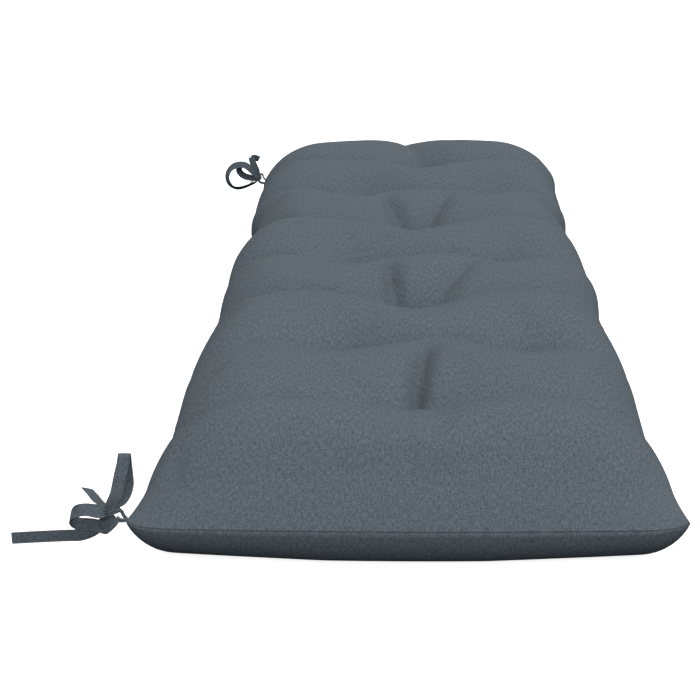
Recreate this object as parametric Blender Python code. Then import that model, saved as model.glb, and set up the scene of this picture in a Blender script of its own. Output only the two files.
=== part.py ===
"""Bench cushion: a long seat pad, drawn in by ten tufts, with a tie at each rear corner.

The pad is two panels of woven cloth sewn together along one seam round its edge and stuffed.
It lies on its back. X runs across the seat, Y along the bench and Z up, in metres. The
origin is on the surface that it rests on, under the middle of the pad.
"""

import math

import bmesh
import bpy
from mathutils import Vector

# The pad, corner to corner of its seam.
PAD_WIDTH = 0.506
PAD_LENGTH = 1.20
HALF_WIDTH = PAD_WIDTH / 2
HALF_LENGTH = PAD_LENGTH / 2

# Heights: the seam above the floor, how much it sags towards a corner and lifts at its tip.
SEAM_HEIGHT = 0.044
CORNER_SAG = 0.005
CORNER_LIFT = 0.008
# The crown above the seam, by the place along the pad: the stuffing is fullest at the ends.
CROWN = (
    {"y": -0.600, "height": 0.084},
    {"y": -0.350, "height": 0.074},
    {"y": 0.200, "height": 0.075},
    {"y": 0.560, "height": 0.096},
)
# How far in from the seam the top levels out, how boxy its edge is and how upright it starts:
# 2 and 2 give a quarter ellipse, and upright 1 a slope.
SIDE_SHOULDER = {"reach": 0.098, "boxy": 2.2, "upright": 2.2}
NEAR_SHOULDER = {"reach": 0.124, "boxy": 1.85, "upright": 1.08}
FAR_SHOULDER = {"reach": 0.110, "boxy": 2.3, "upright": 2.3}
# The underside rolls under in a shorter way.
UNDER_SHOULDER = {"reach": 0.025, "boxy": 2.1, "upright": 2.1}
# Within this way of a corner, the shoulders of the top and of the underside reach further in.
CORNER = {"within": 0.180, "top": 0.050, "under": 0.014}
# So does the side shoulder within this way of a row of tufts, along the pad.
ROW_SLACK = {"within": 0.050, "more": 0.008}
# The short ends bow out between their corners.
END_BOW = 0.014

# The rows of tufts: their place along the pad, how far back a row runs at the sides, the tufts
# across it, and how deep the crease across the pad and the tufts themselves are drawn.
ROWS = (
    {"y": -0.462, "back": -0.008, "tufts": (0.014,), "crease": 0.015, "tuft": 0.031},
    {"y": -0.304, "back": -0.004, "tufts": (-0.072, 0.130), "crease": 0.016, "tuft": 0.034},
    {"y": -0.158, "back": 0.040, "tufts": (0.008,), "crease": 0.017, "tuft": 0.036},
    {"y": -0.002, "back": 0.014, "tufts": (-0.070, 0.130), "crease": 0.017, "tuft": 0.034},
    {"y": 0.148, "back": 0.056, "tufts": (0.012,), "crease": 0.018, "tuft": 0.036},
    {"y": 0.312, "back": 0.021, "tufts": (-0.074, 0.130), "crease": 0.018, "tuft": 0.034},
    {"y": 0.450, "back": 0.005, "tufts": (0.024,), "crease": 0.018, "tuft": 0.036},
)
CREASE_REACH = 0.080
CREASE_SHARPNESS = 2.8
# A crease fades to this share of its depth over this way in from the side seams.
CREASE_FADE = {"share": 0.85, "reach": 0.080}
# A tuft pulls the panel down all round itself.
TUFT_REACH = 0.118
TUFT_SHARPNESS = 2.7

# Furrows that run lengthwise from the tufts and run out at their far end.
FURROWS = (
    {"from": (0.010, -0.448), "to": (0.022, -0.330), "depth": 0.024, "reach": 0.020},
    {"from": (-0.030, -0.460), "to": (-0.105, -0.385), "depth": 0.008, "reach": 0.026},
    {"from": (-0.012, -0.152), "to": (-0.026, -0.045), "depth": 0.022, "reach": 0.024},
    {"from": (0.024, -0.158), "to": (0.090, -0.050), "depth": 0.018, "reach": 0.048},
    {"from": (-0.002, 0.146), "to": (-0.038, 0.262), "depth": 0.020, "reach": 0.032},
    {"from": (0.018, 0.146), "to": (0.066, 0.262), "depth": 0.020, "reach": 0.040},
    {"from": (0.024, 0.450), "to": (-0.012, 0.575), "depth": 0.014, "reach": 0.060},
)

# How far the seam is drawn in along each side, by the place along the pad.
DRAW_IN = (
    {"y": -0.600, "left": 0.000, "right": 0.000},
    {"y": -0.540, "left": 0.008, "right": 0.005},
    {"y": -0.445, "left": 0.016, "right": 0.014},
    {"y": -0.300, "left": 0.011, "right": 0.009},
    {"y": -0.190, "left": 0.018, "right": 0.016},
    {"y": -0.060, "left": 0.014, "right": 0.008},
    {"y": 0.050, "left": 0.010, "right": 0.011},
    {"y": 0.150, "left": 0.023, "right": 0.015},
    {"y": 0.210, "left": 0.025, "right": 0.022},
    {"y": 0.285, "left": 0.011, "right": 0.010},
    {"y": 0.380, "left": 0.010, "right": 0.011},
    {"y": 0.470, "left": 0.010, "right": 0.008},
    {"y": 0.530, "left": 0.006, "right": 0.003},
    {"y": 0.560, "left": 0.003, "right": 0.000},
    {"y": 0.600, "left": 0.009, "right": 0.003},
)

# The grid that both panels share: cells in the band along the seam, across the middle, in
# each end and between two rows.
EDGE_BAND = 0.050
EDGE_CELLS = 5
MIDDLE_CELLS = 22
END_CELLS = 8
LOBE_CELLS = 9


# The ties: one flat strap each, folded at its middle into the seam at a corner, and tied in
# a bow. Each stretch is a route from the corner, in millimetres, with the strap's width
# lying along "across". "wide" narrows the strap where it is gathered.
STRAP = {"width": 0.0115, "thick": 0.0018, "gathered": 1.5}
STRAP_STEPS = 4
MM = 0.001
NEAR_KNOT = {"at": (-11.2, -0.5, 12.0), "size": (8.6, 6.0, 5.5)}
NEAR_TIE = {
    "neck_low": (
        {"at": (-0.3, -0.2, 0.0), "across": (0, 0, 1), "wide": 0.25},
        {"at": (-3.5, -1.2, 1.2), "across": (0, 0.2, 1), "wide": 0.28},
        {"at": (-7.6, -2.2, 3.6), "across": (-0.4, 0.2, 0.8), "wide": 0.50},
    ),
    "neck_high": (
        {"at": (-0.9, 4.5, 0.0), "across": (0, 1, 0), "wide": 0.25},
        {"at": (-1.6, 4.2, 3.2), "across": (0, 1, 0), "wide": 0.25},
        {"at": (-3.0, 2.8, 8.5), "across": (0, 1, 0), "wide": 0.30},
        {"at": (-7.0, 0.5, 12.5), "across": (0, 1, 0), "wide": 0.50},
    ),
    "loop_up": (
        {"at": (-12.0, -3.5, 14.5), "across": (1, 0, 0.2), "wide": 0.65},
        {"at": (-9.8, -4.0, 18.8), "across": (1, 0, 0.1), "wide": 0.95},
        {"at": (-5.8, -3.0, 26.6), "across": (1, 0, 0.1), "wide": 1.0},
        {"at": (-3.8, 0.5, 34.0), "across": (1, 0, 0.1), "wide": 1.0},
        {"at": (-1.8, 4.5, 43.3), "across": (1, 0, 0.05), "wide": 1.0},
        {"at": (0.5, 9.0, 52.3), "across": (1, 0, 0), "wide": 1.0},
        {"at": (1.5, 11.6, 58.2), "across": (1, 0, 0), "wide": 1.0},
        {"at": (1.5, 14.0, 60.4), "across": (1, 0, 0), "wide": 1.0},
        {"at": (1.5, 16.4, 58.2), "across": (1, 0, 0), "wide": 1.0},
        {"at": (1.6, 16.6, 48.8), "across": (1, -0.1, 0), "wide": 1.0},
        {"at": (2.4, 14.8, 38.4), "across": (1, -0.2, 0), "wide": 1.0},
        {"at": (2.6, 12.4, 30.4), "across": (1, -0.2, 0), "wide": 1.0},
        {"at": (1.0, 8.5, 22.2), "across": (1, -0.2, 0), "wide": 0.85},
        {"at": (-2.6, 4.2, 16.0), "across": (1, -0.2, 0.3), "wide": 0.65},
        {"at": (-9.5, 1.0, 12.3), "across": (1, -0.2, 0.6), "wide": 0.55},
    ),
    "loop_left": (
        {"at": (-13.5, -3.2, 12.3), "across": (0, 0.2, 1), "wide": 0.75},
        {"at": (-20.5, -6.5, 13.3), "across": (0.05, 0.48, 0.87), "wide": 1.05},
        {"at": (-31.4, -9.5, 16.8), "across": (0, 0.5, 0.87), "wide": 1.0},
        {"at": (-40.0, -9.0, 15.2), "across": (0, 0.55, 0.84), "wide": 1.0},
        {"at": (-46.1, -6.0, 9.8), "across": (0, 0.8, 0.6), "wide": 1.0},
        {"at": (-49.0, -1.0, 3.2), "across": (0, 0.9, 0.5), "wide": 1.0},
        {"at": (-48.3, 4.0, -3.2), "across": (0, 0.8, 0.6), "wide": 1.0},
        {"at": (-44.4, 6.5, -6.6), "across": (0, 0.6, 0.8), "wide": 1.0},
        {"at": (-37.9, 6.5, -7.2), "across": (0, 0.5, 0.87), "wide": 1.0},
        {"at": (-30.0, 3.8, -6.2), "across": (-0.05, 0.5, 0.87), "wide": 1.0},
        {"at": (-23.0, 1.2, -6.8), "across": (-0.05, 0.5, 0.87), "wide": 1.0},
        {"at": (-16.4, -0.3, -7.4), "across": (-0.05, 0.5, 0.87), "wide": 1.0},
    ),
    "folded_up": (
        {"at": (-20.2, -2.0, -7.6), "across": (-0.68, 0.25, 0.70), "wide": 1.0},
        {"at": (-14.6, -3.0, -2.4), "across": (-0.68, 0.25, 0.70), "wide": 1.0},
        {"at": (-10.2, -2.8, 1.8), "across": (-0.68, 0.25, 0.70), "wide": 0.95},
        {"at": (-6.9, -2.2, 4.4), "across": (-0.68, 0.25, 0.70), "wide": 0.70},
    ),
    "end_long": (
        {"at": (-12.0, 1.5, 9.0), "across": (0, 0, 1), "wide": 0.70},
        {"at": (-17.5, 8.0, -2.5), "across": (0, 0.1, 1), "wide": 0.90},
        {"at": (-28.9, 21.0, -16.5), "across": (0, 0.2, 0.98), "wide": 1.0},
        {"at": (-41.4, 33.0, -29.8), "across": (0, 0.25, 0.97), "wide": 1.0},
        {"at": (-54.0, 37.5, -36.4), "across": (0, 0.2, 0.98), "wide": 1.0},
        {"at": (-67.0, 39.3, -38.0), "across": (0, 0.15, 0.99), "wide": 1.0},
        {"at": (-96.0, 37.2, -38.4), "across": (0, 0.15, 0.99), "wide": 1.0},
        {"at": (-118.8, 34.7, -38.5), "across": (0, 0.15, 0.99), "wide": 1.0},
    ),
    "end_short": (
        {"at": (-12.0, 0.5, 12.0), "across": (0.5, 0.8, -0.2), "wide": 0.60},
        {"at": (-18.0, 5.0, 12.8), "across": (0.8, 0.4, -0.4), "wide": 0.85},
        {"at": (-25.5, 10.5, 14.3), "across": (0.85, 0.28, -0.44), "wide": 1.0},
        {"at": (-33.0, 22.0, 14.8), "across": (0.85, 0.28, -0.44), "wide": 1.0},
        {"at": (-41.8, 35.0, 14.6), "across": (0.85, 0.28, -0.44), "wide": 1.0},
    ),
}
FAR_KNOT = {"at": (-19.5, -1.0, 8.5), "size": (7.5, 5.5, 5.5)}
FAR_TIE = {
    "neck_low": (
        {"at": (-0.3, 0.1, 0.0), "across": (0, 0, 1), "wide": 0.25},
        {"at": (-13.0, 0.2, -0.7), "across": (0, 0.6, 0.8), "wide": 0.30},
        {"at": (-19.5, -0.5, 5.5), "across": (0, 1, 0.1), "wide": 0.60},
    ),
    "neck_high": (
        {"at": (-0.5, -4.5, 0.0), "across": (0, 1, 0), "wide": 0.25},
        {"at": (-2.2, -4.2, 2.2), "across": (0, 1, 0), "wide": 0.25},
        {"at": (-8.6, -2.0, 9.5), "across": (0, 1, 0), "wide": 0.30},
        {"at": (-10.2, 0.0, 14.0), "across": (0, 1, 0), "wide": 0.50},
        {"at": (-14.0, 0.0, 15.0), "across": (0, 1, 0.3), "wide": 0.70},
        {"at": (-18.5, -0.5, 11.5), "across": (0, 1, 0.3), "wide": 0.60},
    ),
    "loop_big": (
        {"at": (-19.5, -2.0, 5.5), "across": (0, 1, -0.2), "wide": 0.60},
        {"at": (-24.5, -2.5, 0.8), "across": (0, 1, -0.5), "wide": 0.90},
        {"at": (-35.4, -4.0, -3.8), "across": (0, 1, -0.6), "wide": 1.0},
        {"at": (-45.4, -5.0, -7.1), "across": (0, 1, -0.7), "wide": 1.0},
        {"at": (-54.5, -5.0, -8.6), "across": (-0.1, 0.9, -0.7), "wide": 1.0},
        {"at": (-63.0, -5.0, -6.7), "across": (-0.3, 0.8, -0.5), "wide": 1.0},
        {"at": (-69.8, -4.0, -0.2), "across": (-0.6, 0.7, -0.35), "wide": 1.0},
        {"at": (-72.8, -3.0, 8.8), "across": (-0.65, 0.75, -0.1), "wide": 1.0},
        {"at": (-71.4, -2.5, 17.8), "across": (-0.6, 0.7, 0.25), "wide": 1.0},
        {"at": (-66.5, -2.5, 25.5), "across": (-0.4, 0.7, 0.5), "wide": 1.0},
        {"at": (-58.9, -3.0, 30.8), "across": (-0.2, 0.5, 0.8), "wide": 1.0},
        {"at": (-49.7, -4.0, 33.2), "across": (0.05, 0.4, 0.9), "wide": 1.0},
        {"at": (-40.5, -5.0, 32.4), "across": (0.3, 0.4, 0.85), "wide": 1.0},
        {"at": (-33.0, -5.0, 27.5), "across": (0.5, 0.4, 0.75), "wide": 1.0},
        {"at": (-26.5, -3.5, 19.5), "across": (0.6, 0.3, 0.6), "wide": 0.90},
        {"at": (-20.4, -2.0, 10.5), "across": (0.6, 0.3, 0.6), "wide": 0.60},
    ),
    "loop_small": (
        {"at": (-19.9, 0.0, 8.4), "across": (0.1, 1, 0.1), "wide": 0.60},
        {"at": (-27.5, 3.0, 6.8), "across": (0.2, 0.7, 0.7), "wide": 0.90},
        {"at": (-35.1, 6.0, 7.5), "across": (0.35, 0.5, 0.8), "wide": 1.0},
        {"at": (-42.5, 8.0, 9.1), "across": (0.5, 0.45, 0.75), "wide": 1.0},
        {"at": (-49.4, 9.0, 13.6), "across": (0.7, 0.45, 0.55), "wide": 1.0},
        {"at": (-53.0, 9.0, 20.2), "across": (0.8, 0.5, 0.1), "wide": 1.0},
        {"at": (-51.0, 9.0, 26.4), "across": (0.6, 0.7, -0.4), "wide": 1.0},
        {"at": (-45.2, 9.0, 29.0), "across": (0, 1, -0.2), "wide": 1.0},
        {"at": (-37.5, 8.0, 26.0), "across": (0, 1, 0), "wide": 1.0},
        {"at": (-29.5, 4.5, 18.5), "across": (0, 1, 0), "wide": 0.90},
        {"at": (-21.5, 1.0, 10.5), "across": (0, 1, 0), "wide": 0.60},
    ),
    "end_up": (
        {"at": (-20.0, -1.0, 13.0), "across": (1, 0, 0.15), "wide": 0.70},
        {"at": (-20.6, -2.0, 20.8), "across": (1, 0, 0.15), "wide": 1.0},
        {"at": (-24.1, -2.0, 30.0), "across": (1, 0, 0.2), "wide": 1.0},
        {"at": (-26.9, -1.5, 38.1), "across": (0.95, 0, 0.3), "wide": 1.0},
        {"at": (-28.6, -1.0, 46.0), "across": (0.95, 0, 0.4), "wide": 1.0},
    ),
    "end_tip": (
        {"at": (-29.0, -0.2, 43.5), "across": (0.6, -0.1, 0.8), "wide": 1.0},
        {"at": (-24.0, 1.5, 44.5), "across": (0.5, -0.2, 0.85), "wide": 1.0},
        {"at": (-15.5, 3.0, 41.0), "across": (0.5, -0.3, 0.8), "wide": 1.0},
    ),
    "end_low": (
        {"at": (-21.0, -1.5, 7.5), "across": (0.2, 0.9, 0.2), "wide": 0.60},
        {"at": (-27.7, -4.5, 4.1), "across": (0.3, 0.9, 0.2), "wide": 0.90},
        {"at": (-33.4, -8.0, -0.6), "across": (0.3, 0.9, 0.2), "wide": 1.0},
    ),
}


def make_material(name, colour, roughness):
    """A Principled material of one colour."""
    material = bpy.data.materials.new(name)
    material.use_nodes = True
    shader = material.node_tree.nodes["Principled BSDF"]
    shader.inputs["Base Color"].default_value = (*colour, 1.0)
    shader.inputs["Roughness"].default_value = roughness
    shader.inputs["Metallic"].default_value = 0.0
    return material


def read_table(table, place, key):
    """The value of key at a place along a table sorted by y, eased between its rows."""
    for low, high in zip(table, table[1:]):
        if place <= high["y"]:
            share = max(0.0, (place - low["y"]) / (high["y"] - low["y"]))
            eased = share * share * (3 - 2 * share)
            return low[key] + eased * (high[key] - low[key])
    return table[-1][key]


def shoulder(distance, reach, boxy, upright):
    """0 at the seam and 1 from reach inwards."""
    left = 1 - min(distance / reach, 1.0)
    return (1 - left**boxy) ** (1 / upright)


def flat_place(u, v):
    """The place across and along the pad of a panel's point, u and v from -1 to 1, rows straight."""
    along = v * HALF_LENGTH
    side = "left" if u < 0 else "right"
    return u * (HALF_WIDTH - read_table(DRAW_IN, along, side)), along


def plan_point(u, v):
    """The same place with the rows run back at the sides and the ends bowed out."""
    across, along = flat_place(u, v)
    ends = {"y": -HALF_LENGTH, "back": 0.0}, {"y": HALF_LENGTH, "back": 0.0}
    back = read_table((ends[0], *ROWS, ends[1]), along, "back") * u**2
    bow = END_BOW * (1 - u**2) * abs(v) ** 8
    return across, along + back + math.copysign(bow, v)


def crease_depth(row, across):
    """How deep a row's crease is at a place across the pad."""
    inwards = min((HALF_WIDTH - abs(across)) / CREASE_FADE["reach"], 1.0)
    return row["crease"] * (CREASE_FADE["share"] + (1 - CREASE_FADE["share"]) * inwards)


def tuft_depth(row, across, along):
    """How much deeper than its crease a row's nearest tuft pulls a point down."""
    away = min(math.dist((across, along), (tuft, row["y"])) for tuft in row["tufts"])
    return (row["tuft"] - row["crease"]) * max(0.0, 1 - away / TUFT_REACH) ** TUFT_SHARPNESS


def furrow_depth(furrow, across, along):
    """How deep a furrow is at a point: a V that runs out along its line."""
    (x0, y0), (x1, y1) = furrow["from"], furrow["to"]
    run = ((across - x0) * (x1 - x0) + (along - y0) * (y1 - y0)) / math.dist((x0, y0), (x1, y1)) ** 2
    share = min(max(run, 0.0), 1.0)
    away = math.dist((across, along), (x0 + share * (x1 - x0), y0 + share * (y1 - y0)))
    near = max(0.0, 1 - away / furrow["reach"])
    return furrow["depth"] * (1 - share**4) * near**2


def drawn_down(across, along):
    """How far the rows, their tufts and the furrows pull the top down at a point."""
    creases, tufts = 0.0, 0.0
    for row in ROWS:
        near = max(0.0, 1 - abs(along - row["y"]) / CREASE_REACH)
        creases = max(creases, crease_depth(row, across) * near**CREASE_SHARPNESS)
        tufts = max(tufts, tuft_depth(row, across, along))
    furrows = sum(furrow_depth(furrow, across, along) for furrow in FURROWS)
    return creases + tufts + furrows


def rise(u, v, side, end, corner_reach):
    """How much of its full height a panel has at a point: 0 at the seam and 1 inside."""
    from_side, from_end = (1 - abs(u)) * HALF_WIDTH, (1 - abs(v)) * HALF_LENGTH
    more = corner_reach * max(0.0, 1 - math.hypot(from_side, from_end) / CORNER["within"])
    across = shoulder(from_side, side["reach"] + more, side["boxy"], side["upright"])
    return across * shoulder(from_end, end["reach"] + more, end["boxy"], end["upright"])


def seam_height(u, v):
    """The seam's height: it sags towards the corners and lifts at their tips."""
    return SEAM_HEIGHT - CORNER_SAG * (u * v) ** 2 + CORNER_LIFT * (u * v) ** 24


def top_height(u, v):
    """The top panel's height: a boxy crown, less what the tufts draw down."""
    across, along = flat_place(u, v)
    near_row = max(max(0.0, 1 - abs(along - row["y"]) / ROW_SLACK["within"]) for row in ROWS)
    side = {**SIDE_SHOULDER, "reach": SIDE_SHOULDER["reach"] + ROW_SLACK["more"] * near_row}
    edge_rise = rise(u, v, side, NEAR_SHOULDER if v < 0 else FAR_SHOULDER, CORNER["top"])
    crown = read_table(CROWN, along, "height")
    return seam_height(u, v) + edge_rise * (crown - drawn_down(across, along))


def under_height(u, v):
    """The underside's height: it rolls under from the seam and lies flat on the floor."""
    return seam_height(u, v) * (1 - rise(u, v, UNDER_SHOULDER, UNDER_SHOULDER, CORNER["under"]))


def spread(low, high, cells):
    """Places from low up to high, without high, closer together at both."""
    return [low + (high - low) * (1 - math.cos(math.pi * i / cells)) / 2 for i in range(cells)]


def across_lines():
    """The places of the grid's lines across the pad, from -1 to 1."""
    edge = [EDGE_BAND * (i / EDGE_CELLS) ** 1.7 for i in range(EDGE_CELLS)]
    inner = HALF_WIDTH - EDGE_BAND
    middle = [inner * (2 * i / MIDDLE_CELLS - 1) for i in range(MIDDLE_CELLS + 1)]
    places = [step - HALF_WIDTH for step in edge] + middle + [HALF_WIDTH - step for step in reversed(edge)]
    return [place / HALF_WIDTH for place in places]


def along_lines():
    """The places of the grid's lines along the pad, with one on each row of tufts."""
    edge = [EDGE_BAND * (i / EDGE_CELLS) ** 1.7 for i in range(EDGE_CELLS)]
    inner = HALF_LENGTH - EDGE_BAND
    stops = [-inner] + [row["y"] for row in ROWS] + [inner]
    middle = []
    for low, high in zip(stops, stops[1:]):
        cells = END_CELLS if inner in (-low, high) else LOBE_CELLS
        middle += spread(low, high, cells)
    places = [step - HALF_LENGTH for step in edge] + middle + [inner]
    places += [HALF_LENGTH - step for step in reversed(edge)]
    return [place / HALF_LENGTH for place in places]


def add_panel(mesh, height, faces_up):
    """One panel: a flat grid, moved to the pad's plan and to its height."""
    columns, lines = across_lines(), along_lines()
    made = bmesh.ops.create_grid(mesh, x_segments=len(columns) - 1, y_segments=len(lines) - 1, size=1.0)
    for vert in made["verts"]:
        u = columns[round((vert.co.x + 1) / 2 * (len(columns) - 1))]
        v = lines[round((vert.co.y + 1) / 2 * (len(lines) - 1))]
        vert.co = (*plan_point(u, v), height(u, v))
    if not faces_up:
        faces = list({face for vert in made["verts"] for face in vert.link_faces})
        bmesh.ops.reverse_faces(mesh, faces=faces)


def add_object(name, mesh, material):
    """A smooth-shaded object from a finished bmesh."""
    data = bpy.data.meshes.new(name)
    mesh.to_mesh(data)
    mesh.free()
    data.shade_smooth()
    data.materials.append(material)
    made = bpy.data.objects.new(name, data)
    bpy.context.scene.collection.objects.link(made)
    return made


def make_pad(material):
    """The stuffed pad: the two panels, joined along the seam."""
    mesh = bmesh.new()
    add_panel(mesh, top_height, True)
    add_panel(mesh, under_height, False)
    bmesh.ops.remove_doubles(mesh, verts=mesh.verts, dist=1e-6)
    return add_object("cushion", mesh, material)


def smooth_route(rows, key):
    """Points on a smooth curve through the rows' values of key."""
    stops = [Vector(row[key]) for row in rows]
    stops = [2 * stops[0] - stops[1]] + stops + [2 * stops[-1] - stops[-2]]
    points = []
    for before, start, end, after in zip(stops, stops[1:], stops[2:], stops[3:]):
        for step in range(STRAP_STEPS):
            t = step / STRAP_STEPS
            bend = (2 * before - 5 * start + 4 * end - after) * t**2
            twist = (3 * start - before - 3 * end + after) * t**3
            points.append((2 * start + (end - before) * t + bend + twist) / 2)
    return points + [stops[-2]]


def make_strap(name, rows, corner, material):
    """One closed stretch of strap: a flat section carried along its route."""
    centres = [corner + point * MM for point in smooth_route(rows, "at")]
    across = smooth_route(rows, "across")
    wide = [width.x for width in smooth_route([{"wide": (row["wide"], 0, 0)} for row in rows], "wide")]
    mesh = bmesh.new()
    rings = []
    for i, centre in enumerate(centres):
        along = (centres[min(i + 1, len(centres) - 1)] - centres[max(i - 1, 0)]).normalized()
        side = (across[i] - across[i].project(along)).normalized()
        face = along.cross(side)
        half = side * (STRAP["width"] * wide[i] / 2)
        # A gathered strap is thicker as it is narrower, up to a limit.
        deep = face * (STRAP["thick"] * min(STRAP["gathered"], 1 / wide[i]) / 2)
        corners = (half + deep, -half + deep, -half - deep, half - deep)
        rings.append([mesh.verts.new(centre + offset) for offset in corners])
    for ring, following in zip(rings, rings[1:]):
        for k in range(4):
            mesh.faces.new((ring[k], ring[k - 3], following[k - 3], following[k]))
    mesh.faces.new(reversed(rings[0]))
    mesh.faces.new(rings[-1])
    bmesh.ops.recalc_face_normals(mesh, faces=mesh.faces)
    return add_object(name, mesh, material)


def make_tie(name, knot, stretches, corner, material):
    """A tie: its knot, with every stretch of the strap united to it."""
    parts = bpy.data.collections.new(f"{name} stretches")
    for key, rows in stretches.items():
        strap = make_strap(f"{name}_{key}", rows, corner, material)
        bpy.context.scene.collection.objects.unlink(strap)
        parts.objects.link(strap)
        strap.hide_render = True
        strap.display_type = "WIRE"
    bpy.context.scene.collection.children.link(parts)
    mesh = bmesh.new()
    bmesh.ops.create_icosphere(mesh, subdivisions=2, radius=1.0)
    bmesh.ops.scale(mesh, verts=mesh.verts, vec=Vector(knot["size"]) * MM)
    bmesh.ops.translate(mesh, verts=mesh.verts, vec=corner + Vector(knot["at"]) * MM)
    tie = add_object(name, mesh, material)
    union = tie.modifiers.new("stretches", "BOOLEAN")
    union.operation = "UNION"
    union.operand_type = "COLLECTION"
    union.collection = parts
    return tie


def main():
    for old in list(bpy.data.objects):
        bpy.data.objects.remove(old)
    cloth = make_material("slate cloth", (0.115, 0.140, 0.160), 0.9)
    make_pad(cloth)
    strap = make_material("strap cloth", (0.115, 0.140, 0.160), 0.85)
    make_tie("tie_near", NEAR_KNOT, NEAR_TIE, Vector((*plan_point(-1, -1), seam_height(1, 1))), strap)
    make_tie("tie_far", FAR_KNOT, FAR_TIE, Vector((*plan_point(-1, 1), seam_height(1, 1))), strap)


main()
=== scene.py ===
import math

import bmesh
import bpy
from mathutils import Matrix, Vector, noise


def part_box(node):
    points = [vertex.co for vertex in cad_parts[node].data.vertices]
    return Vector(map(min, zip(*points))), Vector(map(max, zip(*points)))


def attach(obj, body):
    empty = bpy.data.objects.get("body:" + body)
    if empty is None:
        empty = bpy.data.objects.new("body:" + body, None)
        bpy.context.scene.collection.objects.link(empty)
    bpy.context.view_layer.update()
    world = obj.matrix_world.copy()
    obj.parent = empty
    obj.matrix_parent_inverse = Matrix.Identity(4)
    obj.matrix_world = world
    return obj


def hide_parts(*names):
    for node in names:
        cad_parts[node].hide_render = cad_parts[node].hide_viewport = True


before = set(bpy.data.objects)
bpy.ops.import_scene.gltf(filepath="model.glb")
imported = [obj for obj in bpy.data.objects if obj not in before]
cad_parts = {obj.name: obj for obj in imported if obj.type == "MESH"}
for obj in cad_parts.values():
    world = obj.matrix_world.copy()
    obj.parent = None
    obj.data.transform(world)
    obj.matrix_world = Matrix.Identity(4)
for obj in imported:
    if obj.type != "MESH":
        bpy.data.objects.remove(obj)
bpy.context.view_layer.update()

mm = 0.001

studio = {
    "cameraAt": (0.0065, -1.6183, 0.6246),  # a metre off the near end, 62 cm up
    "turnedLeft": 2.948,  # degrees
    "tiltedDown": 21.981,
    "rolled": -1.286,
    "lens": 66.66,
    "floorSize": 40.0,
    "floorColour": "#F4F4F3",
    "floorRoughness": 0.95,
    "floorSpecular": 0.1,
    "skyColour": "#FFFFFF",
    "lowColour": "#060C14",  # what little comes from below the horizon is bluish
    "hazeColour": "#A9BCD0",  # and so is what comes from just above it
    "lowUpTo": -0.04,  # heights on the unit dome, between which the colours change
    "skyFrom": 0.22,
    "hazeAt": 0.4,  # the haze's share of the way from low to sky
    "floorGlow": 0.8,  # keeps the ground near white, as in the photo
    "skyStrength": 0.78,
    "keyFrom": (0.50, -0.50, 0.70),  # a very soft light from the right
    "keyAway": 3,
    "keyStrength": 1.04,
    "keySoft": 70,  # degrees across
}


def toLinear(hexColour):
    # an sRGB hex colour as linear light, with a full alpha
    channels = [int(hexColour[i:i + 2], 16) / 255 for i in (1, 3, 5)]
    return [c / 12.92 if c <= 0.04045 else ((c + 0.055) / 1.055) ** 2.4 for c in channels] + [1.0]


def addNode(tree, kind, settings=(), links=()):
    # one node, with its own settings, its sockets' values and what is linked into it
    node = tree.nodes.new(kind)
    for key, value in dict(settings).items():
        if hasattr(node, str(key)):
            setattr(node, key, value)
        else:
            node.inputs[key].default_value = value
    for key, source in dict(links).items():
        tree.links.new(source, node.inputs[key])
    return node


def makeCamera():
    data = bpy.data.cameras.new("photoCamera")
    data.lens = studio["lens"]
    camera = bpy.data.objects.new("photoCamera", data)
    bpy.context.scene.collection.objects.link(camera)
    camera.matrix_world = (
        Matrix.Translation(studio["cameraAt"])
        @ Matrix.Rotation(math.radians(studio["turnedLeft"]), 4, "Z")
        @ Matrix.Rotation(math.radians(90 - studio["tiltedDown"]), 4, "X")
        @ Matrix.Rotation(math.radians(studio["rolled"]), 4, "Z")
    )
    bpy.context.scene.camera = camera


def makeFloor():
    mesh = bmesh.new()
    bmesh.ops.create_grid(mesh, x_segments=1, y_segments=1, size=studio["floorSize"] / 2)
    floor = finishPiece("floor", mesh, paintedBoard())
    floor.visible_diffuse = floor.visible_glossy = False  # no bounce: the underside is dark


def paintedBoard():
    # matt white painted board: an even pale ground without gloss
    material = bpy.data.materials.new("mattPaintedBoard")
    material.use_nodes = True
    shader = material.node_tree.nodes["Principled BSDF"]
    shader.inputs["Base Color"].default_value = toLinear(studio["floorColour"])
    shader.inputs["Roughness"].default_value = studio["floorRoughness"]
    shader.inputs["Specular IOR Level"].default_value = studio["floorSpecular"]
    shader.inputs["Emission Color"].default_value = toLinear(studio["skyColour"])
    shader.inputs["Emission Strength"].default_value = studio["floorGlow"]
    return material


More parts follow.
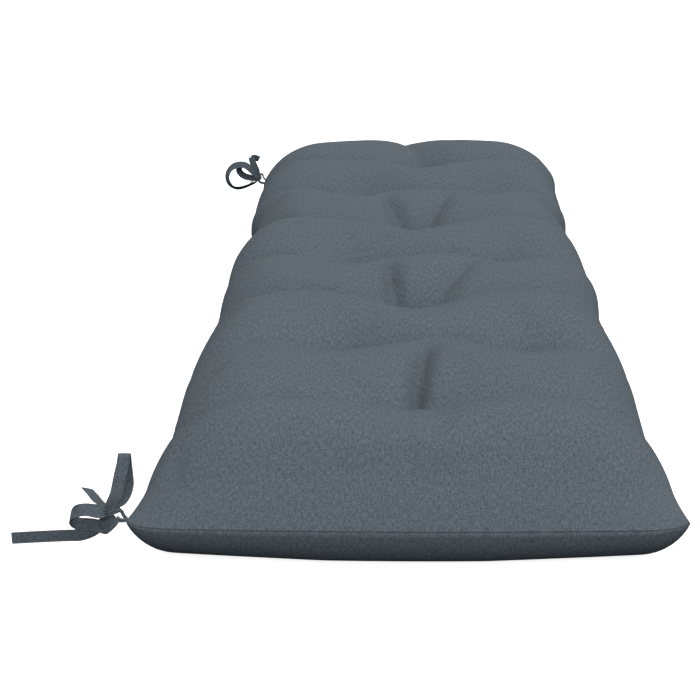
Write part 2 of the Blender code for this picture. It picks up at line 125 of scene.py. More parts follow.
def makeLight():
    world = bpy.data.worlds.new("softDome")
    bpy.context.scene.world = world
    world.use_nodes = True
    tree = world.node_tree
    sky = tree.nodes["Background"]
    sky.inputs["Strength"].default_value = studio["skyStrength"]
    place = addNode(tree, "ShaderNodeTexCoord")
    parts = addNode(tree, "ShaderNodeSeparateXYZ", links={"Vector": place.outputs["Generated"]})
    share = addNode(
        tree, "ShaderNodeMapRange",
        {"From Min": studio["lowUpTo"], "From Max": studio["skyFrom"]},
        {"Value": parts.outputs["Z"]},
    )
    ramp = addNode(tree, "ShaderNodeValToRGB", {}, {"Fac": share.outputs["Result"]})
    ramp.color_ramp.elements[0].color = toLinear(studio["lowColour"])
    ramp.color_ramp.elements[1].color = toLinear(studio["skyColour"])
    ramp.color_ramp.elements.new(studio["hazeAt"]).color = toLinear(studio["hazeColour"])
    tree.links.new(ramp.outputs["Color"], sky.inputs["Color"])
    key = bpy.data.lights.new("softKey", "SUN")
    key.energy = studio["keyStrength"]
    key.angle = math.radians(studio["keySoft"])
    lamp = bpy.data.objects.new("softKey", key)
    bpy.context.scene.collection.objects.link(lamp)
    lamp.location = Vector(studio["keyFrom"]) * studio["keyAway"]
    lamp.rotation_euler = (-Vector(studio["keyFrom"])).to_track_quat("-Z", "Y").to_euler()
    bpy.context.scene.view_settings.view_transform = "Standard"


def finishPiece(name, mesh, material):
    # the bmesh becomes a smooth-shaded object at the origin
    data = bpy.data.meshes.new(name)
    mesh.to_mesh(data)
    mesh.free()
    data.shade_smooth()
    data.materials.append(material)
    piece = bpy.data.objects.new(name, data)
    bpy.context.scene.collection.objects.link(piece)
    return piece


def applyModifiers(piece):
    seen = piece.evaluated_get(bpy.context.evaluated_depsgraph_get())
    data = bpy.data.meshes.new_from_object(seen)
    piece.modifiers.clear()
    piece.data = data
    data.shade_smooth()


cloth = {
    "dark": "#4B545B",
    "middle": "#5F686F",
    "light": "#727B82",
    "thread": 1.5 * mm,  # the real threads are about 0.6 mm, drawn coarser so that they show
    "warp": (1.6 * mm, 6.0 * mm, 1),  # the largest streak of one colour, across and along the pad
    "weft": (3.2 * mm, 1.6 * mm, 1),
    "streakDetail": 3.0,
    "streakRoughness": 0.8,
    "spread": 0.225,  # half of the noise's spread that the colours take up
    "roughness": 0.92,
    "specular": 0.12,
    "grainShare": 0.35,  # how much the threads stand out against the streaks
    "bumpStrength": 0.35,
    "bumpHeight": 0.3 * mm,
}

# a little finer on the straps
strapCloth = {**cloth, "thread": 1.1 * mm, "warp": (1.4 * mm, 5.0 * mm, 1)}


def wovenCloth(name, look):
    # plain-weave melange polyester: mixed dark and light fibres give short streaks both ways,
    # and the threads a fine grain
    material = bpy.data.materials.new(name)
    material.use_nodes = True
    tree = material.node_tree
    shader = tree.nodes["Principled BSDF"]
    shader.inputs["Roughness"].default_value = look["roughness"]
    shader.inputs["Specular IOR Level"].default_value = look["specular"]
    flat = addNode(tree, "ShaderNodeUVMap", {"uv_map": "weave"})
    streaks = []
    for size in (look["warp"], look["weft"]):
        scaled = addNode(
            tree, "ShaderNodeVectorMath", {"operation": "DIVIDE", 1: size}, {0: flat.outputs["UV"]},
        )
        streaks.append(addNode(
            tree, "ShaderNodeTexNoise",
            {"Scale": 1.0, "Detail": look["streakDetail"], "Roughness": look["streakRoughness"]},
            {"Vector": scaled.outputs["Vector"]},
        ))
    both = addNode(
        tree, "ShaderNodeMath", {"operation": "ADD"},
        {0: streaks[0].outputs["Fac"], 1: streaks[1].outputs["Fac"]},
    )
    spread = addNode(
        tree, "ShaderNodeMapRange",
        {"From Min": 1 - look["spread"], "From Max": 1 + look["spread"]},
        {"Value": both.outputs[0]},
    )
    ramp = addNode(tree, "ShaderNodeValToRGB", {}, {"Fac": spread.outputs["Result"]})
    ramp.color_ramp.elements[0].color = toLinear(look["dark"])
    ramp.color_ramp.elements[1].color = toLinear(look["light"])
    ramp.color_ramp.elements.new(0.5).color = toLinear(look["middle"])
    tree.links.new(ramp.outputs["Color"], shader.inputs["Base Color"])
    # the weave's grain: warp and weft cross over and under
    waves = []
    parts = addNode(tree, "ShaderNodeSeparateXYZ", links={"Vector": flat.outputs["UV"]})
    for axis in ("X", "Y"):
        turned = addNode(
            tree, "ShaderNodeMath", {"operation": "MULTIPLY", 1: math.pi / look["thread"]},
            {0: parts.outputs[axis]},
        )
        waves.append(addNode(tree, "ShaderNodeMath", {"operation": "SINE"}, {0: turned.outputs[0]}))
    grain = addNode(
        tree, "ShaderNodeMath", {"operation": "MULTIPLY"},
        {0: waves[0].outputs[0], 1: waves[1].outputs[0]},
    )
    height = addNode(
        tree, "ShaderNodeMath", {"operation": "MULTIPLY_ADD", 1: look["grainShare"]},
        {0: grain.outputs[0], 2: both.outputs[0]},
    )
    bump = addNode(
        tree, "ShaderNodeBump", {"Strength": look["bumpStrength"], "Distance": look["bumpHeight"]},
        {"Height": height.outputs[0]},
    )
    tree.links.new(bump.outputs["Normal"], shader.inputs["Normal"])
    return material


padLow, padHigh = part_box("cushion")
pad = {
    "endBow": 0.014,
    "endBowSharp": 8,  # a high power keeps a change near the ends or the corners
    "seamHeight": 0.044,
    "cornerSag": 0.005,  # the seam sags towards the corners and lifts at their tips
    "cornerSagSharp": 2,
    "cornerLift": 0.008,
    "cornerLiftSharp": 24,
    # the crown above the seam along the pad: place, height
    "crown": ((-0.600, 0.084), (-0.350, 0.074), (0.200, 0.075), (0.560, 0.096)),
    # how far in from the seam a panel levels out, how boxy its edge is, and how upright it starts
    "side": (0.098, 2.2, 2.2),
    "nearEnd": (0.124, 1.85, 1.08),
    "farEnd": (0.110, 2.3, 2.3),
    "under": (0.025, 2.1, 2.1),
    "cornerWithin": 0.180,  # the corners are softer: both panels level out further in there
    "cornerTop": 0.050,
    "cornerUnder": 0.014,
    "creaseReach": 0.080,
    "creaseSharp": 2.8,
    "creaseFade": 0.85,  # the share of a crease's depth that is left at the long sides
    "creaseFadeReach": 0.080,
    "fold": 0.005,  # a narrower fold at the bottom of each crease, uneven along it
    "foldReach": 0.013,
    "foldSharp": 2,
    "foldGrain": 12,  # bumps per metre, across the pad
    "wander": 0.010,  # how far the rows wander off their lines
    "wanderGrain": 7,
    "rowApart": 20,  # keeps the rows' noise apart from each other
    "foldLayer": 5,  # and the folds' from the wandering
    "tuftReach": 0.118,
    "tuftSharp": 2.7,
    "furrowSharp": 2,
    "furrowEnds": 4,  # a furrow keeps its depth until near its end
    "cell": 0.008,  # the grid's cells, before they are divided once
    "weldWithin": 1e-6,
    "seamCells": (0.0, 0.0008, 0.0020, 0.0040, 0.0080, 0.0140, 0.0220, 0.0310),
    "rowSlack": 0.008,  # the sides level out further in at the rows
    "rowSlackReach": 0.050,
    "seamWide": 0.0006,  # the sewn groove between the panels, each way
    "seamDeep": 0.0018,
    "seamCrease": 0.7,  # how sharp the groove's rims stay when they are divided
}
pad["halfWidth"] = (padHigh.x - padLow.x) / 2
pad["halfLength"] = (padHigh.y - padLow.y) / 2 - pad["endBow"]

# rows of tufts: place along the pad, how far back the row runs at the sides, the tufts across,
# the crease's depth and the tufts' own
rows = (
    {"at": -0.462, "back": -0.008, "tufts": (0.014,), "crease": 0.015, "tuft": 0.031},
    {"at": -0.304, "back": -0.004, "tufts": (-0.072, 0.130), "crease": 0.016, "tuft": 0.034},
    {"at": -0.158, "back": 0.040, "tufts": (0.008,), "crease": 0.017, "tuft": 0.036},
    {"at": -0.002, "back": 0.014, "tufts": (-0.070, 0.130), "crease": 0.017, "tuft": 0.034},
    {"at": 0.148, "back": 0.056, "tufts": (0.012,), "crease": 0.018, "tuft": 0.036},
    {"at": 0.312, "back": 0.021, "tufts": (-0.074, 0.130), "crease": 0.018, "tuft": 0.034},
    {"at": 0.450, "back": 0.005, "tufts": (0.024,), "crease": 0.018, "tuft": 0.036},
)

# furrows that run lengthwise from the tufts
furrows = (
    {"start": (0.010, -0.448), "end": (0.022, -0.330), "deep": 0.024, "reach": 0.020},
    {"start": (-0.030, -0.460), "end": (-0.105, -0.385), "deep": 0.008, "reach": 0.026},
    {"start": (-0.012, -0.152), "end": (-0.026, -0.045), "deep": 0.022, "reach": 0.024},
    {"start": (0.024, -0.158), "end": (0.090, -0.050), "deep": 0.018, "reach": 0.048},
    {"start": (-0.002, 0.146), "end": (-0.038, 0.262), "deep": 0.020, "reach": 0.032},
    {"start": (0.018, 0.146), "end": (0.066, 0.262), "deep": 0.020, "reach": 0.040},
    {"start": (0.024, 0.450), "end": (-0.012, 0.575), "deep": 0.014, "reach": 0.060},
)

# how far the long sides are drawn in: place, left, right
drawnIn = (
    (-0.600, 0.000, 0.000), (-0.540, 0.008, 0.005), (-0.445, 0.016, 0.014), (-0.300, 0.011, 0.009),
    (-0.190, 0.018, 0.016), (-0.060, 0.014, 0.008), (0.050, 0.010, 0.011), (0.150, 0.023, 0.015),
    (0.210, 0.025, 0.022), (0.285, 0.011, 0.010), (0.380, 0.010, 0.011), (0.470, 0.010, 0.008),
    (0.530, 0.006, 0.003), (0.560, 0.003, 0.000), (0.600, 0.009, 0.003),
)


def eased(table, place, column=1):
    # a value between the table's rows, without a kink at any of them
    for low, high in zip(table, table[1:]):
        if place <= high[0]:
            share = max(0.0, (place - low[0]) / (high[0] - low[0]))
            return low[column] + share * share * (3 - 2 * share) * (high[column] - low[column])
    return table[-1][column]


def shoulder(distance, reach, boxy, upright):
    # how far the cloth has risen at a distance in from its seam, from 0 to 1
    left = 1 - min(distance / reach, 1.0)
    return (1 - left ** boxy) ** (1 / upright)


def flatPlace(u, v):
    # u and v run from -1 to 1, across the pad and along it
    along = v * pad["halfLength"]
    return u * (pad["halfWidth"] - eased(drawnIn, along, 1 if u < 0 else 2)), along


rowBack = [(row["at"], row["back"]) for row in rows]
rowBack = [(-pad["halfLength"], 0.0), *rowBack, (pad["halfLength"], 0.0)]


def planPoint(u, v):
    across, along = flatPlace(u, v)
    bow = pad["endBow"] * (1 - u * u) * abs(v) ** pad["endBowSharp"]
    return across, along + eased(rowBack, along) * u * u + math.copysign(bow, v)


def drawnDown(across, along):
    # creases across the pad, tufts and furrows pull the top down
    crease = tuft = furrowed = folded = 0.0
    inwards = min((pad["halfWidth"] - abs(across)) / pad["creaseFadeReach"], 1.0)
    fade = pad["creaseFade"] + (1 - pad["creaseFade"]) * inwards
    for row in rows:
        layer = row["at"] * pad["rowApart"]
        astray = pad["wander"] * noise.noise((across * pad["wanderGrain"], layer, 0))
        off = abs(along - row["at"] - astray)
        near = max(0.0, 1 - off / pad["creaseReach"])
        crease = max(crease, row["crease"] * fade * near ** pad["creaseSharp"])
        uneven = 0.5 + noise.noise((across * pad["foldGrain"], layer, pad["foldLayer"]))
        nearFold = max(0.0, 1 - off / pad["foldReach"]) ** pad["foldSharp"]
        folded = max(folded, pad["fold"] * min(max(uneven, 0.0), 1.0) * nearFold)
        away = min(math.dist((across, along), (place, row["at"])) for place in row["tufts"])
        pull = max(0.0, 1 - away / pad["tuftReach"]) ** pad["tuftSharp"]
        tuft = max(tuft, (row["tuft"] - row["crease"]) * pull)
    for furrow in furrows:
        (x0, y0), (x1, y1) = furrow["start"], furrow["end"]
        long = math.dist((x0, y0), (x1, y1))
        run = ((across - x0) * (x1 - x0) + (along - y0) * (y1 - y0)) / long ** 2
        share = min(max(run, 0.0), 1.0)
        away = math.dist((across, along), (x0 + share * (x1 - x0), y0 + share * (y1 - y0)))
        near = max(0.0, 1 - away / furrow["reach"]) ** pad["furrowSharp"]
        furrowed += furrow["deep"] * (1 - share ** pad["furrowEnds"]) * near
    return crease + tuft + furrowed + folded


def rise(u, v, side, end, corner):
    # both shoulders together, with a longer reach near a corner
    fromSide, fromEnd = (1 - abs(u)) * pad["halfWidth"], (1 - abs(v)) * pad["halfLength"]
    more = corner * max(0.0, 1 - math.hypot(fromSide, fromEnd) / pad["cornerWithin"])
    risen = shoulder(fromSide, side[0] + more, *side[1:])
    return risen * shoulder(fromEnd, end[0] + more, *end[1:])


def seamAt(u, v):
    sag = pad["cornerSag"] * (u * v) ** pad["cornerSagSharp"]
    return pad["seamHeight"] - sag + pad["cornerLift"] * (u * v) ** pad["cornerLiftSharp"]


def topAt(u, v):
    across, along = flatPlace(u, v)
    near = max(max(0.0, 1 - abs(along - row["at"]) / pad["rowSlackReach"]) for row in rows)
    side = (pad["side"][0] + pad["rowSlack"] * near, *pad["side"][1:])
    edge = rise(u, v, side, pad["nearEnd"] if v < 0 else pad["farEnd"], pad["cornerTop"])
    crown = eased(pad["crown"], along)
    return seamAt(u, v) + edge * (crown - drawnDown(across, along))


def underAt(u, v):
    return seamAt(u, v) * (1 - rise(u, v, pad["under"], pad["under"], pad["cornerUnder"]))


def gridLines(half):
    # close together at both seams and even between them
    inner = half - pad["seamCells"][-1]
    cells = round(2 * inner / pad["cell"])
    middle = [-inner + 2 * inner * i / cells for i in range(1, cells)]
    edge = [step - half for step in pad["seamCells"]]
    mirrored = [-step for step in reversed(edge)]
    return [place / half for place in edge + middle + mirrored]


def runLengths(points):
    # how far along its run each point is
    runs = [0.0]
    for before, after in zip(points, points[1:]):
        runs.append(runs[-1] + (after - before).length)
    return runs


def addPanel(mesh, heightAt, faceUp):
    columns, lines = gridLines(pad["halfWidth"]), gridLines(pad["halfLength"])
    made = bmesh.ops.create_grid(
        mesh, x_segments=len(columns) - 1, y_segments=len(lines) - 1, size=1.0,
    )
    places = {}
    for vert in made["verts"]:
        i = round((vert.co.x + 1) / 2 * (len(columns) - 1))
        j = round((vert.co.y + 1) / 2 * (len(lines) - 1))
        vert.co = (*planPoint(columns[i], lines[j]), heightAt(columns[i], lines[j]))
        places[i, j] = vert
    # the weave runs straight along the cloth: its length over the pad's middle, both ways
    weave = mesh.loops.layers.uv.verify()
    i0, j0 = len(columns) // 2, len(lines) // 2
    acrossRun = runLengths([places[i, j0].co for i in range(len(columns))])
    alongRun = runLengths([places[i0, j].co for j in range(len(lines))])
    weft = {vert: acrossRun[i] for (i, j), vert in places.items()}
    warp = {vert: alongRun[j] for (i, j), vert in places.items()}
    faces = list({face for vert in made["verts"] for face in vert.link_faces})
    for face in faces:
        for loop in face.loops:
            loop[weave].uv = (weft[loop.vert], warp[loop.vert])
    if not faceUp:
        bmesh.ops.reverse_faces(mesh, faces=faces)


def makePad():
    mesh = bmesh.new()
    mesh.loops.layers.uv.new("weave")
    addPanel(mesh, topAt, True)
    addPanel(mesh, underAt, False)
    rim = [vert for vert in mesh.verts if vert.is_boundary]
    bmesh.ops.remove_doubles(mesh, verts=mesh.verts, dist=pad["weldWithin"])
    sewSeam(mesh, {vert for vert in rim if vert.is_valid})
    piece = finishPiece("benchCushion", mesh, wovenCloth("plainWeaveMelange", cloth))
    swellPad(piece)
    divide = piece.modifiers.new("divide", "SUBSURF")
    divide.levels = divide.render_levels = 1
    applyModifiers(piece)
    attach(piece, "root")
    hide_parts("cushion")
    print("pad made,", len(piece.data.polygons), "faces")


swell = {
    "smaller": 0.003,  # it starts lower, and the pressure swells it back
    "heldWithin": 0.008,  # fully held this near to the seam or a tuft, and then less and less
    "seamFade": 0.030,
    "tuftFade": 0.020,
    "quality": 5,
    "mass": 0.3,
    "stretch": 12,
    "shear": 5,
    "bending": 0.4,
    "pressure": 4,
    "shrink": -0.012,  # the cloth is cut a little large, so it ripples
    "frames": 20,
    "moveMost": 0.006,
}


def held(place):
    # how firmly the simulation holds a point: the seam, the underside and the tufts stay
    u, v = place.x / pad["halfWidth"], place.y / pad["halfLength"]
    fromSeam = min(pad["halfWidth"] * (1 - abs(u)), pad["halfLength"] * (1 - abs(v)))
    seam = 1 - (fromSeam - swell["heldWithin"]) / swell["seamFade"]
    tuft = max(
        1 - (math.dist(place.xy, (across, row["at"])) - swell["heldWithin"]) / swell["tuftFade"]
        for row in rows for across in row["tufts"]
    )
    under = 1.0 if place.z < pad["seamHeight"] else 0.0
    return min(max(seam, tuft, under, 0.0), 1.0)


def swellPad(piece):
    # the stuffing's pressure swells the top between the seam and the tufts
    rest = [vert.co.copy() for vert in piece.data.vertices]
    weights = [held(place) for place in rest]
    pins = piece.vertex_groups.new(name="pins")
    for index, weight in enumerate(weights):
        piece.data.vertices[index].co.z -= swell["smaller"] * (1 - weight)
        pins.add([index], weight, "REPLACE")
    clothSim = piece.modifiers.new("swell", "CLOTH")
    values = clothSim.settings
    values.quality = swell["quality"]
    values.mass = swell["mass"]
    values.tension_stiffness = values.compression_stiffness = swell["stretch"]
    values.shear_stiffness = swell["shear"]
    values.bending_stiffness = swell["bending"]
    values.use_pressure = True
    values.uniform_pressure_force = swell["pressure"]
    values.shrink_min = swell["shrink"]
    values.vertex_group_mass = "pins"
    values.effector_weights.gravity = 0
    clothSim.collision_settings.use_collision = False
    for step in range(1, swell["frames"] + 1):
        bpy.context.scene.frame_set(step)
    applyModifiers(piece)
    piece.vertex_groups.clear()
    for vert, start in zip(piece.data.vertices, rest):
        moved = vert.co - start
        if moved.length > swell["moveMost"]:
            vert.co = start + moved * (swell["moveMost"] / moved.length)
        vert.co.z = max(vert.co.z, 0.0)
    bpy.context.scene.frame_set(1)
    print("pad swollen")


def sewSeam(mesh, rim):
    # the sewn seam is a narrow groove where the two panels meet
    edges = [edge for edge in mesh.edges if edge.verts[0] in rim and edge.verts[1] in rim]
    made = bmesh.ops.bevel(
        mesh, geom=edges, offset=pad["seamWide"], offset_type="OFFSET", affect="EDGES",
        segments=2, profile=0.5, material=-1,
    )
    mesh.normal_update()
    strip = set(made["faces"])
    crease = mesh.edges.layers.float.new("crease_edge")
    for vert in made["verts"]:
        if all(face in strip for face in vert.link_faces):
            vert.co -= vert.normal * pad["seamDeep"]
    for edge in {edge for face in strip for edge in face.edges}:
        if sum(face in strip for face in edge.link_faces) == 1:
            edge[crease] = pad["seamCrease"]


strap = {
    "width": 11.5 * mm,
    "thick": 1.5 * mm,
    "steps": 6,  # stations between two points of a route
    "columns": (-0.5, -0.46, -0.40, -0.36, -0.32, -0.16, 0.0, 0.16, 0.32, 0.36, 0.40, 0.46, 0.5),
    "stitchedAt": 0.36,  # the line of stitches near each edge, where the strap is thinner
    "stitchedThick": 0.62,  # its share of the thickness there
    "gatherDeep": 1.6 * mm,
    "gatherTurns": 2,  # lengthwise folds across the strap
}

knotCore = {"subdivisions": 3, "ripple": 0.10, "rippleGrain": 2.5}  # on a ball of radius 1

# each stretch's route from the corner of the seam, in millimetres: place, the way that the
# width lies, and how much of its width shows where it is gathered
nearKnot = {"at": (-11.2, -0.5, 12.0), "size": (8.2, 5.0, 4.6)}
nearTie = {
    "neckLow": (
        ((1.6, 0.8, 0.0), (0, 0, 1), 0.25),
        ((-3.5, -1.2, 1.2), (0, 0.2, 1), 0.28),
        ((-7.6, -2.2, 3.6), (-0.4, 0.2, 0.8), 0.50),
    ),
    "neckHigh": (
        ((1.0, 4.5, -0.3), (0, 1, 0), 0.25),
        ((-1.6, 4.2, 3.2), (0, 1, 0), 0.25),
        ((-3.0, 2.8, 8.5), (0, 1, 0), 0.30),
        ((-7.0, 0.5, 12.5), (0, 1, 0), 0.50),
    ),
    "loopUp": (
        ((-12.0, -3.5, 14.5), (1, 0, 0.2), 0.65),
        ((-9.8, -4.0, 18.8), (1, 0, 0.1), 0.95),
        ((-5.8, -3.0, 26.6), (1, 0, 0.1), 1.0),
        ((-3.8, 0.5, 34.0), (1, 0, 0.1), 1.0),
        ((-1.8, 4.5, 43.3), (1, 0, 0.05), 1.0),
        ((0.5, 9.0, 52.3), (1, 0, 0), 1.0),
        ((1.5, 11.6, 58.2), (1, 0, 0), 1.0),
        ((1.5, 14.0, 60.4), (1, 0, 0), 1.0),
        ((1.5, 16.4, 58.2), (1, 0, 0), 1.0),
        ((1.6, 16.6, 48.8), (1, -0.1, 0), 1.0),
        ((2.4, 14.8, 38.4), (1, -0.2, 0), 1.0),
        ((2.6, 12.4, 30.4), (1, -0.2, 0), 1.0),
        ((1.0, 8.5, 22.2), (1, -0.2, 0), 0.85),
        ((-2.6, 4.2, 16.0), (1, -0.2, 0.3), 0.65),
        ((-9.5, 1.0, 12.3), (1, -0.2, 0.6), 0.55),
    ),
    "loopLeft": (
        ((-13.5, -3.2, 12.3), (0, 0.2, 1), 0.75),
        ((-20.5, -6.5, 13.3), (0.05, 0.48, 0.87), 1.05),
        ((-31.4, -9.5, 16.8), (0, 0.5, 0.87), 1.0),
        ((-40.0, -9.0, 15.2), (0, 0.55, 0.84), 1.0),
        ((-46.1, -6.0, 9.8), (0, 0.8, 0.6), 1.0),
        ((-49.0, -1.0, 3.2), (0, 0.9, 0.5), 1.0),
        ((-48.3, 4.0, -3.2), (0, 0.8, 0.6), 1.0),
        ((-44.4, 6.5, -6.6), (0, 0.6, 0.8), 1.0),
        ((-37.9, 6.5, -7.2), (0, 0.5, 0.87), 1.0),
        ((-30.0, 3.8, -6.2), (-0.05, 0.5, 0.87), 1.0),
        ((-23.0, 1.2, -6.8), (-0.05, 0.5, 0.87), 1.0),
        ((-16.4, -0.3, -7.4), (-0.05, 0.5, 0.87), 1.0),
    ),
    "foldedUp": (
        ((-20.2, -2.0, -7.6), (-0.68, 0.25, 0.7), 1.0),
        ((-14.6, -3.0, -2.4), (-0.68, 0.25, 0.7), 1.0),
        ((-10.2, -2.8, 1.8), (-0.68, 0.25, 0.7), 0.95),
        ((-6.9, -2.2, 4.4), (-0.68, 0.25, 0.7), 0.70),
    ),
    "endLong": (
        ((-12.0, 1.5, 9.0), (0, 0, 1), 0.70),
        ((-17.5, 8.0, -2.5), (0, 0.1, 1), 0.90),
        ((-28.9, 21.0, -16.5), (0, 0.2, 0.98), 1.0),
        ((-41.4, 33.0, -29.8), (0, 0.25, 0.97), 1.0),
        ((-54.0, 37.5, -36.4), (0, 0.2, 0.98), 1.0),
        ((-67.0, 39.3, -38.0), (0, 0.15, 0.99), 1.0),
        ((-96.0, 37.2, -38.4), (0, 0.15, 0.99), 1.0),
        ((-118.8, 34.7, -38.5), (0, 0.15, 0.99), 1.0),
    ),
    "endShort": (
        ((-12.0, 0.5, 12.0), (0.5, 0.8, -0.2), 0.60),
        ((-18.0, 5.0, 12.8), (0.8, 0.4, -0.4), 0.85),
        ((-25.5, 10.5, 14.3), (0.85, 0.28, -0.44), 1.0),
        ((-33.0, 22.0, 14.8), (0.85, 0.28, -0.44), 1.0),
        ((-41.8, 35.0, 14.6), (0.85, 0.28, -0.44), 1.0),
    ),
    "wrap": (
        ((-17.6, 1.0, 8.8), (-0.3, 0, 1), 0.45),
        ((-16.6, -4.3, 10.2), (-0.3, 0, 1), 0.55),
        ((-12.0, -6.4, 12.4), (-0.35, 0, 1), 0.62),
        ((-7.2, -4.4, 14.2), (-0.35, 0, 1), 0.5),
        ((-5.9, 0.5, 15.0), (-0.3, 0, 1), 0.40),
    ),
}
farKnot = {"at": (-19.5, -1.0, 8.5), "size": (7.0, 5.0, 5.0)}
farTie = {
    "neckLow": (
        ((1.6, -0.6, 0.0), (0, 0, 1), 0.25),
        ((-13.0, 0.2, -0.7), (0, 0.6, 0.8), 0.30),
        ((-19.5, -0.5, 5.5), (0, 1, 0.1), 0.60),
    ),
    "neckHigh": (
        ((1.2, -4.5, -0.3), (0, 1, 0), 0.25),
        ((-2.2, -4.2, 2.2), (0, 1, 0), 0.25),
        ((-8.6, -2.0, 9.5), (0, 1, 0), 0.30),
        ((-10.2, 0.0, 14.0), (0, 1, 0), 0.50),
        ((-14.0, 0.0, 15.0), (0, 1, 0.3), 0.70),
        ((-18.5, -0.5, 11.5), (0, 1, 0.3), 0.60),
    ),
    "loopBig": (
        ((-19.5, -2.0, 5.5), (0, 1, -0.2), 0.60),
        ((-24.5, -2.5, 0.8), (0, 1, -0.5), 0.90),
        ((-35.4, -4.0, -3.8), (0, 1, -0.6), 1.0),
        ((-45.4, -5.0, -7.1), (0, 1, -0.7), 1.0),
        ((-54.5, -5.0, -8.6), (-0.1, 0.9, -0.7), 1.0),
        ((-63.0, -5.0, -6.7), (-0.3, 0.8, -0.5), 1.0),
        ((-69.8, -4.0, -0.2), (-0.6, 0.7, -0.35), 1.0),
        ((-72.8, -3.0, 8.8), (-0.65, 0.75, -0.1), 1.0),
        ((-71.4, -2.5, 17.8), (-0.6, 0.7, 0.25), 1.0),
        ((-66.5, -2.5, 25.5), (-0.4, 0.7, 0.5), 1.0),
        ((-58.9, -3.0, 30.8), (-0.2, 0.5, 0.8), 1.0),
        ((-49.7, -4.0, 33.2), (0.05, 0.4, 0.9), 1.0),
        ((-40.5, -5.0, 32.4), (0.3, 0.4, 0.85), 1.0),
        ((-33.0, -5.0, 27.5), (0.5, 0.4, 0.75), 1.0),
        ((-26.5, -3.5, 19.5), (0.6, 0.3, 0.6), 0.90),
        ((-20.4, -2.0, 10.5), (0.6, 0.3, 0.6), 0.60),
    ),
    "loopSmall": (
        ((-19.9, 0.0, 8.4), (0.1, 1, 0.1), 0.60),
        ((-27.5, 3.0, 6.8), (0.2, 0.7, 0.7), 0.90),
        ((-35.1, 6.0, 7.5), (0.35, 0.5, 0.8), 1.0),
        ((-42.5, 8.0, 9.1), (0.5, 0.45, 0.75), 1.0),
        ((-49.4, 9.0, 13.6), (0.7, 0.45, 0.55), 1.0),
        ((-53.0, 9.0, 20.2), (0.8, 0.5, 0.1), 1.0),
        ((-51.0, 9.0, 26.4), (0.6, 0.7, -0.4), 1.0),
        ((-45.2, 9.0, 29.0), (0, 1, -0.2), 1.0),
        ((-37.5, 8.0, 26.0), (0, 1, 0), 1.0),
        ((-29.5, 4.5, 18.5), (0, 1, 0), 0.90),
        ((-21.5, 1.0, 10.5), (0, 1, 0), 0.60),
    ),
    "endUp": (
        ((-20.0, -1.0, 13.0), (1, 0, 0.15), 0.70),
        ((-20.6, -2.0, 20.8), (1, 0, 0.15), 1.0),
        ((-24.1, -2.0, 30.0), (1, 0, 0.2), 1.0),
        ((-26.9, -1.5, 38.1), (0.95, 0, 0.3), 1.0),
        ((-28.6, -1.0, 46.0), (0.95, 0, 0.4), 1.0),
    ),
    "endTip": (
        ((-29.0, -0.2, 43.5), (0.6, -0.1, 0.8), 1.0),
        ((-24.0, 1.5, 44.5), (0.5, -0.2, 0.85), 1.0),
        ((-15.5, 3.0, 41.0), (0.5, -0.3, 0.8), 1.0),
    ),
    "endLow": (
        ((-21.0, -1.5, 7.5), (0.2, 0.9, 0.2), 0.60),
        ((-27.7, -4.5, 4.1), (0.3, 0.9, 0.2), 0.90),
        ((-33.4, -8.0, -0.6), (0.3, 0.9, 0.2), 1.0),
    ),
    "wrap": (
        ((-25.2, 1.0, 6.5), (-0.2, 0, 1), 0.45),
        ((-24.0, -4.6, 7.2), (-0.2, 0, 1), 0.55),
        ((-19.5, -6.9, 8.6), (-0.25, 0, 1), 0.62),
        ((-14.8, -4.8, 9.8), (-0.2, 0, 1), 0.5),
        ((-13.4, 1.0, 10.4), (-0.2, 0, 1), 0.40),
    ),
}


def smoothRoute(values):
    # points on a smooth curve through the values
    stops = [Vector(value) for value in values]
    stops = [2 * stops[0] - stops[1]] + stops + [2 * stops[-1] - stops[-2]]
    points = []
    for before, start, end, after in zip(stops, stops[1:], stops[2:], stops[3:]):
        for step in range(strap["steps"]):
            t = step / strap["steps"]
            bend = (2 * before - 5 * start + 4 * end - after) * t ** 2
            twist = (3 * start - before - 3 * end + after) * t ** 3
            points.append((2 * start + (end - before) * t + bend + twist) / 2)
    return points + [stops[-2]]


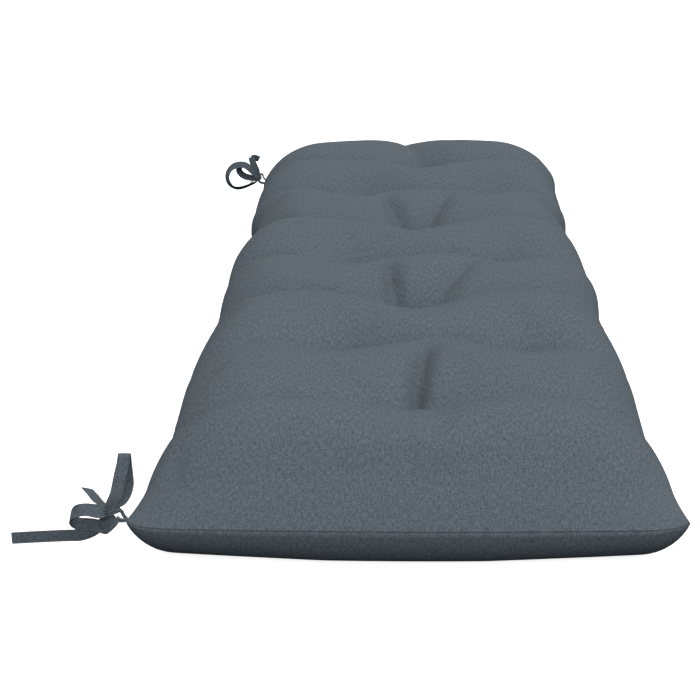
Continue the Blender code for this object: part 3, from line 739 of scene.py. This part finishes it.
def addStrap(mesh, route, corner, edges):
    # one stretch: a flat grid laid along its route. Returns its length
    centres = [corner + point * mm for point in smoothRoute([row[0] for row in route])]
    ways = smoothRoute([row[1] for row in route])
    widths = [value.x for value in smoothRoute([(row[2], 0, 0) for row in route])]
    count = len(centres)
    made = bmesh.ops.create_grid(
        mesh, x_segments=len(strap["columns"]) - 1, y_segments=count - 1, size=1.0,
    )
    weave = mesh.loops.layers.uv.verify()
    runs = runLengths(centres)
    flat = {}
    for vert in made["verts"]:
        i = round((vert.co.x + 1) / 2 * (len(strap["columns"]) - 1))
        j = round((vert.co.y + 1) / 2 * (count - 1))
        along = (centres[min(j + 1, count - 1)] - centres[max(j - 1, 0)]).normalized()
        side = (ways[j] - ways[j].project(along)).normalized()
        face = along.cross(side)
        column = strap["columns"][i]
        across = column * strap["width"]
        # a gathered strap folds up lengthwise as it narrows
        wave = math.cos(column * 2 * strap["gatherTurns"] * math.pi)
        gather = (1 - widths[j]) * strap["gatherDeep"] * wave
        vert.co = centres[j] + side * (across * widths[j]) + face * gather
        flat[vert] = (across, runs[j])
        vert[edges] = strap["stitchedThick"] if abs(column) == strap["stitchedAt"] else 1.0
    for face in {face for vert in made["verts"] for face in vert.link_faces}:
        for loop in face.loops:
            loop[weave].uv = flat[loop.vert]
    return runs[-1]


def makeTie(name, node, routes, knot, corner):
    mesh = bmesh.new()
    mesh.loops.layers.uv.new("weave")
    edges = mesh.verts.layers.float.new("thickness")
    length = sum(addStrap(mesh, route, corner, edges) for route in routes.values())
    thickness = [vert[edges] for vert in mesh.verts]
    piece = finishPiece(name, mesh, strapMaterial)
    full = piece.vertex_groups.new(name="full")
    for index, share in enumerate(thickness):
        full.add([index], share, "REPLACE")
    shell = piece.modifiers.new("shell", "SOLIDIFY")
    shell.thickness = strap["thick"]
    shell.offset = 0
    shell.vertex_group = "full"
    divide = piece.modifiers.new("divide", "SUBSURF")
    divide.levels = divide.render_levels = 1
    applyModifiers(piece)
    piece.vertex_groups.clear()
    addKnot(piece, knot, corner)
    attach(piece, "root")
    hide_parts(node)
    print(name, "made, strap", round(length, 3), "m,", len(piece.data.polygons), "faces")


def addKnot(piece, knot, corner):
    # the knot's core, which the strap's stretches run into
    mesh = bmesh.new()
    mesh.from_mesh(piece.data)
    made = bmesh.ops.create_icosphere(mesh, subdivisions=knotCore["subdivisions"], radius=1.0)
    for vert in made["verts"]:
        ripple = 1 + knotCore["ripple"] * noise.noise(vert.co * knotCore["rippleGrain"])
        stretched = Vector([c * size * mm * ripple for c, size in zip(vert.co, knot["size"])])
        vert.co = corner + stretched + Vector(knot["at"]) * mm
    for face in {face for vert in made["verts"] for face in vert.link_faces}:
        face.smooth = True
    mesh.to_mesh(piece.data)
    mesh.free()


makeCamera()
makeFloor()
makeLight()
print("camera, floor and light set")
makePad()
strapMaterial = wovenCloth("foldedStrapWeave", strapCloth)
makeTie("nearTie", "tie_near", nearTie, nearKnot, Vector((*planPoint(-1, -1), seamAt(1, 1))))
makeTie("farTie", "tie_far", farTie, farKnot, Vector((*planPoint(-1, 1), seamAt(1, 1))))
